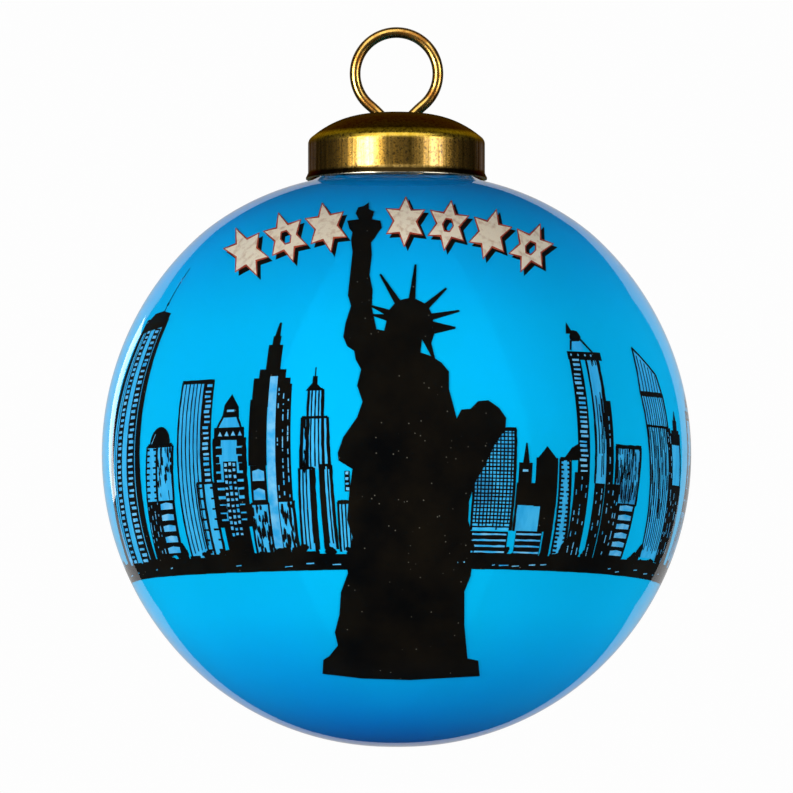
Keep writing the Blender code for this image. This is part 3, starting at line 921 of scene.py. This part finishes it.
# Each front tower: azimuths of its foot and of its top, latitude of the top, crown and its height,
# then its walls from the back forward as (style, u from, u to, latitude from, to, columns, rows)
FRONT_TOWERS = (
    (-80.6, -62.8, -70.3, -59.9, 26.0, "mast", 12.0, (
        (plain, 0.0, 1.0, -23.0, 26.0),
        (black, 0.0, 0.1, -23.0, 24.5),
        (stripes, 0.1, 0.28, -23.0, 24.5, 2),
        (ladder, 0.26, 0.46, -23.0, 24.0, 1, 42),
        (ladder, 0.62, 0.86, -23.0, 24.0, 1, 40),
        (black, 0.88, 1.0, -23.0, 25.5),
    )),
    (-62.0, -51.6, -58.4, -49.6, 0.0, "dome", 3.5, (
        (ticks, 0.02, 0.42, -11.0, -0.3, 1, 9),
        (mottled, 0.42, 0.98, -11.0, -0.3, 4, 7),
        (lit, 0.0, 0.46, -23.0, -11.0, 4, 7),
        (bays, 0.44, 1.0, -22.0, -11.0, 1, 5),
    )),
    (-48.9, -39.5, -48.0, -39.5, 12.0, "flat", 0.0, (
        (stripes, 0.0, 0.74, -23.0, 12.0, 6),
        (ladder, 0.74, 1.02, -8.0, 11.6, 1, 19),
        (ticks, 0.56, 1.04, -22.5, -8.0, 1, 7),
    )),
    (-38.6, -31.3, -38.5, -31.4, 2.5, "lantern", 6.7, (
        (ragged, 0.0, 1.0, -14.0, 0.6, 1, 9),
        (ladder, 0.3, 0.74, -19.0, -4.0, 3, 13),
        (black, 0.1, 0.96, -23.0, -17.0),
        (ragged, 0.0, 1.0, -17.0, -12.0, 1, 3),
    )),
    (-30.8, -21.0, -30.2, -21.3, 8.0, "spire", 15.8, (
        (black, 0.0, 0.44, -5.0, 8.0),
        (bays, 0.04, 0.42, -12.5, -5.0, 1, 2),
        (mottled, 0.0, 0.44, -23.0, -12.5, 6, 7),
        (lit, 0.64, 1.0, -12.0, 11.0, 3, 18),
        (mottled, 0.64, 1.0, -23.0, -12.0, 6, 6),
        (shaft, 0.45, 0.65, -21.5, 12.6),
    )),
    (-20.1, -12.4, -19.1, -13.4, 4.2, "finial", 10.0, (
        (plain, 0.04, 0.96, -6.0, 4.2),
        (stripes, 0.24, 0.78, -6.0, 9.8, 4),
        (mottled, 0.08, 0.26, -6.0, 4.0, 2, 4),
        (stripes, 0.0, 0.46, -22.0, -5.7, 4),
        (black, 0.36, 0.46, -22.5, -6.0),
        (stripes, 0.66, 1.0, -22.0, -5.2, 3),
        (black, 0.66, 0.78, -22.5, -5.2),
    )),
    (-11.8, -8.8, -11.8, -8.8, -12.5, "flat", 0.0, (
        (stripes, 0.0, 1.0, -22.5, -12.5, 4),
        (ladder, 0.5, 0.86, -10.4, -6.4, 1, 4),
    )),
    (15.5, 24.0, 15.4, 24.0, 2.0, "flat", 0.0, (
        (grid, 0.0, 1.0, -18.0, 2.0, 11, 27),
        (steps, 0.0, 0.96, -23.0, -18.2, 1, 4),
    )),
    (24.7, 28.0, 24.8, 27.8, -8.7, "tiered", 8.1, (
        (black, -0.08, 1.9, -12.6, -8.4),
        (plain, 0.0, 1.9, -18.0, -12.6),
        (steps, 0.2, 2.1, -23.0, -18.0, 1, 4),
    )),
    (28.6, 34.0, 28.6, 33.6, -3.6, "gable", 2.4, (
        (black, 0.0, 1.0, -13.0, -3.4),
        (black, 0.3, 1.0, -18.0, -12.0),
        (black, 0.62, 1.0, -23.0, -17.0),
    )),
    (34.8, 38.0, 34.1, 36.4, -3.4, "eaves", 3.6, (
        (ticks, 0.0, 1.0, -22.6, -3.4, 1, 22),
    )),
    (38.6, 48.6, 37.7, 47.0, 17.0, "horns", 7.0, (
        (ladder, 0.02, 0.34, -6.0, 16.8, 1, 24),
        (lit, -0.05, 0.34, -23.0, -6.0, 3, 8),
        (hatch, 0.5, 0.86, -8.0, 16.8, 5, 7),
        (lit, 0.5, 0.78, -23.0, -8.0, 2, 8),
        (lit, 0.8, 1.02, -23.0, 8.4, 1, 16),
    )),
    (49.2, 56.2, 48.7, 56.5, -0.5, "flat", 0.0, (
        (hatch, 0.0, 1.0, -12.0, -0.5, 12, 9),
        (lit, -0.1, 0.2, -23.0, -8.0, 3, 6),
        (bays, 0.2, 1.0, -22.5, -11.6, 1, 6),
    )),
    (63.5, 72.6, 57.8, 66.9, 11.0, "slant", 8.7, (
        (stripes, 0.0, 1.0, -22.0, 10.6, 10),
        (hatch, 0.0, 1.0, -16.0, 4.0, 8, 5),
        (lit, 0.9, 1.12, -22.6, 4.0, 2, 12),
    )),
    (73.5, 79.5, 68.7, 75.2, 1.4, "spire", 6.0, (
        (plain, 0.1, 0.9, -8.0, 1.2),
        (lit, 0.0, 1.0, -23.0, -7.0, 4, 8),
    )),
)
BACK_STYLES = (stripes, grid, hatch, ticks, ladder, lit, bays, ragged, mottled)
BACK_COUNTS = {
    "stripes": (7, 1), "grid": (9, 18), "hatch": (8, 8), "ticks": (1, 12), "ladder": (3, 14),
    "lit": (4, 10), "bays": (1, 7), "ragged": (1, 8), "mottled": (4, 8),
}
TREES = ((-52.0, 2.0, 3.4), (-36.5, 2.6, 1.6), (-24.5, 1.7, 1.3), (37.8, 1.3, 2.8), (61.5, 1.8, 3.2))


def back_towers():
    """Towers for the rest of the way round, drawn at random as in the part's source."""
    draw = random.Random(BACK_SEED)
    kinds = ("flat", "steps", "spire", "dome", "slant", "horns")
    towers = []
    azimuth = BACK_FROM
    while azimuth < BACK_TO:
        width = draw.uniform(6.5, 12.0)
        gap = draw.uniform(0.8, 3.0)
        if azimuth + width > BACK_TO:
            break
        top = draw.uniform(-8.0, 14.0)
        kind = draw.choice(kinds)
        right = azimuth + width
        towers.append((azimuth, right, azimuth, right, top, kind, draw.uniform(3.0, 7.0)))
        azimuth += width + gap
    return towers


def back_walls(art, tower):
    """A lower block, one or two shafts above it and a dark side, each in a drawn style."""
    split = art.draw.uniform(0.35, 0.65)
    waist = GROUND_HIGH + (tower.top - GROUND_HIGH) * art.draw.uniform(0.3, 0.5)
    areas = (
        (0.0, split, waist, tower.top),
        (split, 1.0, waist, tower.top),
        (0.0, 1.0, GROUND_HIGH + 0.6, waist),
    )
    for area in areas:
        style = art.draw.choice(BACK_STYLES)
        style(art, Wall(tower, *area, *BACK_COUNTS[style.__name__]))


def draw_ground(art):
    """The black shore right round the ball, with bushes on it and glints along its foot."""
    pitch = 3.0
    count = round(360.0 / pitch)
    start = FRONT_TOWERS[0][0] - 2.0
    for step in range(count):
        left = start + step * pitch
        right = left + pitch + 0.15
        low = GROUND_LOW + 0.15 * math.sin(math.radians(left * 3.0))
        high = GROUND_HIGH + art.draw.uniform(0.0, 0.7)
        art.area(art.ink, [(left, low), (right, low), (right, high), (left, high)])
        if art.draw.random() < 0.4:
            x = left + art.draw.uniform(0.0, pitch)
            y = GROUND_LOW + art.draw.uniform(0.7, 1.6)
            art.stroke(art.light, [(x, y), (x + art.draw.uniform(0.6, 2.2), y + 0.1)], 0.2)
    spots = list(TREES)
    azimuth = FRONT_TOWERS[0][1]
    while azimuth < FRONT_TOWERS[0][0] + 360.0:
        azimuth += art.draw.uniform(2.4, 7.0)
        spots.append((azimuth, art.draw.uniform(0.9, 2.0), art.draw.uniform(0.5, 2.4)))
    for azimuth, across, up in spots:
        for _ in range(7):
            x = azimuth + art.draw.uniform(-0.7, 0.7) * across
            y = GROUND_HIGH + art.draw.uniform(0.0, 0.9) * up
            art.blob(art.ink, (x, y), across * 0.5, up * 0.34)


def make_skyline():
    art = Drawing(seed=5, wobble=HAND_WOBBLE)
    for *ends, top, crown, height, walls in FRONT_TOWERS:
        tower = Tower(*ends, top)
        for style, *area in walls:
            style(art, Wall(tower, *area))
        CROWNS[crown](art, Roof(tower), height)
    for *ends, top, crown, height in back_towers():
        tower = Tower(*ends, top)
        back_walls(art, tower)
        CROWNS[crown](art, Roof(tower), height)
    draw_ground(art)
    tint = skin("tower_tints", art.tint, on_globe, GLOBE_PITCH, TINT_LIFT, tint_finish())
    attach(tint, "ornament")
    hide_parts("tower_tint_coat")
    ink = skin("skyline_ink", art.ink, on_globe, GLOBE_PITCH, INK_LIFT, black_finish("black_ink", 0.3))
    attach(ink, "ornament")
    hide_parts("skyline_coat")
    lights = skin("skyline_lit_marks", art.light, on_globe, GLOBE_PITCH, LIGHT_LIFT, light_finish())
    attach(lights, "ornament")


# ---- torch-bearer


# The figure in x and height, millimetres as seen: right side upwards, then left side down
FIGURE_RIGHT = (
    (10.8, -28.6), (10.6, -26.6), (9.2, -26.3), (8.8, -22.0), (8.8, -17.6), (9.6, -15.6),
    (10.1, -11.7), (9.3, -8.4), (9.4, -5.9), (10.1, -3.6), (11.6, -0.9), (12.7, 1.4),
    (14.1, 3.4), (14.2, 4.9), (13.3, 6.2), (11.9, 7.2), (10.6, 7.1), (9.6, 6.1), (8.4, 6.0),
    (7.8, 4.8), (7.4, 6.4), (6.8, 8.6), (6.8, 10.9), (5.8, 12.1), (5.0, 12.6), (4.5, 14.6),
    (4.9, 15.8), (4.6, 16.8), (5.0, 17.6),
)
FIGURE_LEFT = (
    (-1.3, 17.4), (-1.6, 16.2), (-2.6, 16.4), (-3.2, 19.2), (-3.1, 21.5), (-3.5, 23.4),
    (-3.2, 26.0), (-3.3, 27.6), (-2.8, 28.2), (-2.3, 29.0), (-1.9, 29.5), (-2.1, 30.4),
    (-3.2, 30.6), (-2.9, 31.6), (-3.6, 32.0), (-3.6, 32.9), (-4.3, 32.4), (-5.0, 32.2),
    (-5.3, 31.4), (-4.9, 30.6), (-6.4, 30.4), (-6.1, 29.4), (-5.7, 28.9), (-5.9, 27.9),
    (-5.7, 26.4), (-6.0, 23.6), (-6.3, 20.8), (-5.9, 19.4), (-6.6, 17.2), (-6.9, 15.4),
    (-6.4, 14.2), (-5.5, 13.6), (-5.3, 12.5), (-4.6, 11.2), (-5.1, 9.1), (-4.4, 7.0),
    (-5.1, 5.0), (-6.9, 2.4), (-7.6, 0.4), (-7.5, -0.6), (-5.7, -1.7), (-6.1, -4.6),
    (-6.4, -8.3), (-5.7, -10.5), (-6.4, -14.2), (-6.3, -15.2), (-7.2, -17.7), (-7.4, -20.6),
    (-8.0, -22.9), (-7.6, -24.6), (-8.7, -26.0), (-9.5, -26.5), (-9.6, -28.3), (-4.5, -28.9),
    (1.8, -29.1),
)
NECK_GAP = ((3.3, 15.1), (3.1, 13.4), (4.5, 12.9))
HEAD_CENTRE = Vector((1.7, 17.4))
HEAD_RADIUS = 3.0
RAYS = ((-8.0, 6.0), (12.0, 6.6), (42.0, 6.4), (84.0, 7.4), (122.0, 7.2), (158.0, 5.3), (170.0, 4.8))
RAY_HALF_WIDTH = 0.42


def figure_head():
    """The head as an arc from the right side of the neck to the left, with a crown of rays."""
    outline = []
    for angle, reach in RAYS:
        turn = math.radians(angle)
        out = Vector((math.cos(turn), math.sin(turn)))
        side = Vector((-out.y, out.x)) * RAY_HALF_WIDTH
        foot = HEAD_CENTRE + out * HEAD_RADIUS
        tip = HEAD_CENTRE + out * reach
        outline += [foot - side, tip - side * 0.3, tip + side * 0.3, foot + side]
    return [(point.x, point.y) for point in outline]


def make_torch_bearer():
    outline = [*FIGURE_RIGHT, *figure_head(), *FIGURE_LEFT]
    finish = black_finish("black_figure_paint", 0.5)
    shapes = [[outline, NECK_GAP]]
    figure = skin("torch_bearer", shapes, on_front, FRONT_PITCH, STATUE_LIFT, finish)
    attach(figure, "ornament")
    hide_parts("statue_coat")


# ---- row of stars


ARC_CENTRE = Vector((-0.4, -16.2))
ARC_RADIUS = 46.6
STAR_TIP = 2.65
STAR_NOTCH = 1.35
STAR_STRETCH = 1.18
STAR_HOLE = 0.8
STAR_HOLE_STRETCH = 1.3
STAR_RUNS = {"left": (-27.4, -7.5, 3), "right": (-1.4, 25.7, 4)}
EDGE_WIDTH = 0.24
SHADOW_SHIFT = Vector((0.45, -0.45))


def along_arc(angle, along, across, shift):
    """A point of the row, by its place along the arc and across it in millimetres."""
    turn = math.radians(angle) + along / ARC_RADIUS
    out = Vector((math.sin(turn), math.cos(turn)))
    point = ARC_CENTRE + out * (ARC_RADIUS + across) + shift
    return (point.x, point.y)


def star_loops(angle, middle, grow, shift, hollow):
    """A six-pointed star, hollow or whole, on the arc."""
    outline = []
    for step in range(12):
        radius = (STAR_TIP if step % 2 == 1 else STAR_NOTCH) + grow
        turn = math.radians(30.0 * step)
        across = STAR_STRETCH * radius * math.sin(turn)
        outline.append(along_arc(angle, middle + radius * math.cos(turn), across, shift))
    if not hollow:
        return [outline]
    hole = []
    for step in range(6):
        turn = math.radians(60.0 * step)
        radius = STAR_HOLE - grow * 0.7
        along = middle + radius * math.cos(turn)
        hole.append(along_arc(angle, along, STAR_HOLE_STRETCH * radius * math.sin(turn), shift))
    return [outline, hole]


def make_stars():
    layers = {
        "cream": (CREAM_LIFT, 0.0, Vector((0.0, 0.0)), cream_finish()),
        "red": (RED_LIFT, EDGE_WIDTH, Vector((0.0, 0.0)), red_finish()),
        "shadow": (SHADOW_LIFT, EDGE_WIDTH, SHADOW_SHIFT, black_finish("black_shadow_paint", 0.2)),
    }
    for layer, (lift, grow, shift, finish) in layers.items():
        for side, (first, last, count) in STAR_RUNS.items():
            room = math.radians(last - first) * ARC_RADIUS - 2 * STAR_TIP
            shapes = []
            for index in range(count):
                middle = STAR_TIP + room * index / (count - 1)
                shapes.append(star_loops(first, middle, grow, shift, index % 2 == 1))
            name = f"stars_{layer}_{side}"
            stars = skin(name, shapes, on_front, FRONT_PITCH, lift, finish)
            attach(stars, "ornament")
            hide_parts(f"garland_{layer}_{side}")


# ---- cap and ring


def cap_line():
    """The cap's outer line from the crown down to its foot."""
    dome = []
    for step in range(41):
        radius = DOME_EDGE * step / 40
        dome.append((radius, CROWN_HEIGHT - DOME_DROP * (radius / DOME_RADIUS) ** DOME_POWER))
    centre = SKIRT_RADIUS - SHOULDER_RADIUS
    top_slope = math.radians(SHOULDER_START)
    drop = dome[-1][1] - SHOULDER_RADIUS * math.cos(top_slope)
    bend = []
    for step in range(1, 11):
        turn = top_slope + (math.pi / 2 - top_slope) * step / 10
        bend.append((centre + SHOULDER_RADIUS * math.sin(turn), drop + SHOULDER_RADIUS * math.cos(turn)))
    last = bend[-1][1]
    skirt = [(SKIRT_RADIUS, last + (SKIRT_FOOT - last) * i / 8) for i in range(1, 9)]
    roll = (SKIRT_RADIUS + ROLL_OUT, SKIRT_FOOT - ROLL_DROP)
    return dome + bend + skirt + [roll, (LIP_RADIUS, LIP_HEIGHT), (LIP_RADIUS, CAP_FOOT)]


def inner_line(line, thickness):
    """The line moved in by a thickness, square to itself."""
    inner = []
    for index, (radius, height) in enumerate(line):
        before = Vector(line[max(index - 1, 0)])
        after = Vector(line[min(index + 1, len(line) - 1)])
        along = (after - before).normalized()
        inner.append((radius + along.y * thickness, height - along.x * thickness))
    inner[0] = (0.0, inner[0][1])
    return inner


def drill(obj, x):
    """Cuts one of the ring's holes through the crown."""
    mesh = bpy.data.meshes.new("drill")
    shape = bmesh.new()
    bmesh.ops.create_cone(
        shape,
        cap_ends=True,
        segments=48,
        radius1=HOLE_RADIUS,
        radius2=HOLE_RADIUS,
        depth=DRILL_LENGTH,
    )
    shape.to_mesh(mesh)
    shape.free()
    cutter = bpy.data.objects.new("drill", mesh)
    bpy.context.scene.collection.objects.link(cutter)
    cutter.location = (x, 0.0, CENTRE_Z + CROWN_HEIGHT)
    hole = obj.modifiers.new("hole", "BOOLEAN")
    hole.operation = "DIFFERENCE"
    hole.solver = "EXACT"
    hole.object = cutter
    bpy.context.view_layer.update()
    graph = bpy.context.evaluated_depsgraph_get()
    cut = bpy.data.meshes.new_from_object(obj.evaluated_get(graph))
    obj.modifiers.remove(hole)
    obj.data = cut
    bpy.data.objects.remove(cutter, do_unlink=True)


def make_cap():
    outer = cap_line()
    inner = inner_line(outer, CAP_SHEET)
    cap = turned("brass_cap", outer + inner[::-1], CAP_STEPS, antique_brass_finish())
    for x in (-HOLE_OFFSET, HOLE_OFFSET):
        drill(cap, x)
    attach(cap, "ornament")
    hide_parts("cap_shell")
    return cap


def ring_path():
    """The wire's closed path as (x, height): a circle, then a bend inside the cap."""
    right = []
    for step in range(57):
        turn = math.radians(RING_ARC * step / 56)
        right.append(Vector((RING_RADIUS * math.sin(turn), RING_CENTRE + RING_RADIUS * math.cos(turn))))
    end = math.radians(RING_ARC)
    start = right[-1]
    leave = start + Vector((math.cos(end), -math.sin(end))) * RING_HANDLE
    middle = Vector((0.0, CHORD_HEIGHT))
    arrive = middle + Vector((CHORD_HANDLE, 0.0))
    for step in range(1, 21):
        t = step / 20
        s = 1.0 - t
        right.append(start * s ** 3 + leave * 3 * s * s * t + arrive * 3 * s * t * t + middle * t ** 3)
    left = [Vector((-point.x, point.y)) for point in right[-2:0:-1]]
    return right + left


def make_ring():
    """The wire as a tube along its path."""
    path = ring_path()
    count = len(path)
    verts = []
    for index, point in enumerate(path):
        along = (path[(index + 1) % count] - path[index - 1]).normalized()
        out = Vector((along.y, -along.x))
        for step in range(RING_SIDES):
            turn = math.tau * step / RING_SIDES
            reach = out * math.cos(turn) * WIRE_RADIUS
            verts.append((point.x + reach.x, math.sin(turn) * WIRE_RADIUS, CENTRE_Z + point.y + reach.y))
    faces = []
    for index in range(count):
        for step in range(RING_SIDES):
            here = index * RING_SIDES
            after = (index + 1) % count * RING_SIDES
            turn = (step + 1) % RING_SIDES
            faces.append((here + step, here + turn, after + turn, after + step))
    mesh = bpy.data.meshes.new("brass_ring")
    mesh.from_pydata(verts, [], faces)
    ring = mesh_object("brass_ring", mesh, ring_finish())
    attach(ring, "ring")
    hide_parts("hanging_ring")
    return ring


def finish_adhesive():
    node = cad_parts["cap_adhesive"]
    node.data.materials.clear()
    node.data.materials.append(glue_finish())


# ---- stage, light and camera


CAMERA_RISE = -3.5          # degrees: the camera looks a little up at the ball
CAMERA_DISTANCE = 1.6
AIM_ABOVE_CENTRE = 0.0075
LENS = 563.0
BACKDROP_AWAY = 3.0
BACKDROP_GLOW = 0.48
BACKDROP_SIZE = (3.46, 2.3)
FLOOR_BELOW = 0.35
FLOOR_SIZE = (9.0, 9.0)
KEYS = (                    # azimuth, elevation, watts
    (-40.0, 4.0, 7.6), (40.0, 2.0, 5.2), (0.0, -50.0, 2.2), (-130.0, 2.0, 8.0), (130.0, 2.0, 8.0),
)


METAL_BOXES = (             # azimuth, elevation, size in metres, watts; only the cap and ring see them
    (-41.0, 2.0, (0.42, 0.6), 16.0),
    (50.0, 2.0, (0.4, 0.6), 5.0),
    (0.0, 45.0, (1.6, 0.9), 11.0),
    (150.0, 5.0, (0.7, 0.9), 0.3),
    (-150.0, 5.0, (0.7, 0.9), 0.3),
    (180.0, 45.0, (1.6, 0.9), 0.9),
)
CAP_MIDDLE = 0.0385
KEY_SIZE = (0.5, 0.5)


def direction_of(azimuth, elevation):
    """A unit vector, by azimuth from the front (+ is to the right) and elevation."""
    turn = math.radians(azimuth)
    rise = math.radians(elevation)
    return Vector((math.sin(turn) * math.cos(rise), -math.cos(turn) * math.cos(rise), math.sin(rise)))


def aimed(obj, towards):
    obj.rotation_euler = (towards - obj.location).to_track_quat("-Z", "Y").to_euler()


def softbox(name, azimuth, elevation, distance, size, power, glossy=False, only=None, target=None):
    """An area light aimed at the ball, seen in reflections only if asked."""
    lamp = bpy.data.lights.new(name, "AREA")
    lamp.shape = "RECTANGLE"
    lamp.size, lamp.size_y = size
    lamp.energy = power
    light = bpy.data.objects.new(name, lamp)
    bpy.context.scene.collection.objects.link(light)
    centre = Vector((0.0, 0.0, CENTRE_Z)) if target is None else target
    light.location = centre + direction_of(azimuth, elevation) * distance
    aimed(light, centre)
    light.visible_camera = False
    light.visible_glossy = glossy
    light.visible_transmission = False
    if only:
        light.light_linking.receiver_collection = only
    return light


def glowing(name, color, strength):
    made = bpy.data.materials.new(name)
    made.use_nodes = True
    nodes = made.node_tree.nodes
    nodes.remove(nodes["Principled BSDF"])
    glow = nodes.new("ShaderNodeEmission")
    glow.inputs["Color"].default_value = (*color, 1.0)
    glow.inputs["Strength"].default_value = strength
    made.node_tree.links.new(glow.outputs["Emission"], nodes["Material Output"].inputs["Surface"])
    return made


def panel(name, size, finish):
    """A flat card for the stage, facing +Z before it is turned."""
    mesh = bpy.data.meshes.new(name)
    x, y = size[0] / 2, size[1] / 2
    mesh.from_pydata([(-x, -y, 0), (x, -y, 0), (x, y, 0), (-x, y, 0)], [], [(0, 1, 2, 3)])
    mesh.materials.append(finish)
    card = bpy.data.objects.new(name, mesh)
    bpy.context.scene.collection.objects.link(card)
    return card


def linked_group(name, objects):
    group = bpy.data.collections.new(name)
    for obj in objects:
        group.objects.link(obj)
    return group


def make_stage(glass):
    centre = Vector((0.0, 0.0, CENTRE_Z))
    card = panel("backdrop", BACKDROP_SIZE, glowing("backdrop_white", (1.0, 1.0, 1.0), BACKDROP_GLOW))
    card.location = centre + direction_of(180.0, -CAMERA_RISE) * BACKDROP_AWAY
    aimed(card, centre)
    card.rotation_euler.rotate_axis("X", math.pi)
    card.visible_camera = False
    card.visible_diffuse = False
    card.visible_transmission = False
    card.light_linking.receiver_collection = glass
    floor = panel("floor", FLOOR_SIZE, glowing("floor_pale", (0.96, 0.96, 0.96), 1.0))
    floor.location = (0.0, 0.0, CENTRE_Z - FLOOR_BELOW)
    floor.visible_shadow = False
    floor.visible_diffuse = False
    floor.visible_glossy = False
    floor.visible_transmission = False


def make_world():
    """White round the object for the camera, dark for everything that the object reflects."""
    world = bpy.data.worlds.new("studio")
    bpy.context.scene.world = world
    world.use_nodes = True
    nodes = world.node_tree.nodes
    links = world.node_tree.links
    dark = nodes["Background"]
    dark.inputs["Color"].default_value = (0.02, 0.02, 0.02, 1.0)
    white = nodes.new("ShaderNodeBackground")
    white.inputs["Color"].default_value = (0.985, 0.985, 0.985, 1.0)
    path = nodes.new("ShaderNodeLightPath")
    either = nodes.new("ShaderNodeMixShader")
    links.new(path.outputs["Is Camera Ray"], either.inputs["Fac"])
    links.new(dark.outputs["Background"], either.inputs[1])
    links.new(white.outputs["Background"], either.inputs[2])
    links.new(either.outputs["Shader"], nodes["World Output"].inputs["Surface"])


def make_lights(metal, glass):
    for azimuth, elevation, power in KEYS:
        softbox("key", azimuth, elevation, 1.0, KEY_SIZE, power)
    cap_centre = Vector((0.0, 0.0, CENTRE_Z + CAP_MIDDLE))
    for azimuth, elevation, size, power in METAL_BOXES:
        softbox("metal_box", azimuth, elevation, 1.0, size, power, True, metal, cap_centre)
    softbox("rim_glow", -148.0, 8.0, 1.0, (0.12, 0.34), 0.3, True, glass)


def make_camera():
    data = bpy.data.cameras.new("camera")
    data.lens = LENS
    data.sensor_width = 36.0
    data.clip_start = 0.05
    camera = bpy.data.objects.new("camera", data)
    bpy.context.scene.collection.objects.link(camera)
    aim = Vector((0.0, 0.0, CENTRE_Z + AIM_ABOVE_CENTRE))
    camera.location = aim + direction_of(0.0, CAMERA_RISE) * CAMERA_DISTANCE
    aimed(camera, aim)
    bpy.context.scene.camera = camera


def main():
    bpy.context.scene.view_settings.view_transform = "Standard"
    ball = make_glass()
    make_sky()
    make_skyline()
    make_torch_bearer()
    make_stars()
    cap = make_cap()
    ring = make_ring()
    finish_adhesive()
    for piece in (cap, ring):
        piece.visible_glossy = False
    glass = linked_group("glass", [ball])
    make_stage(glass)
    make_world()
    make_lights(linked_group("metal", [cap, ring]), glass)
    make_camera()


main()
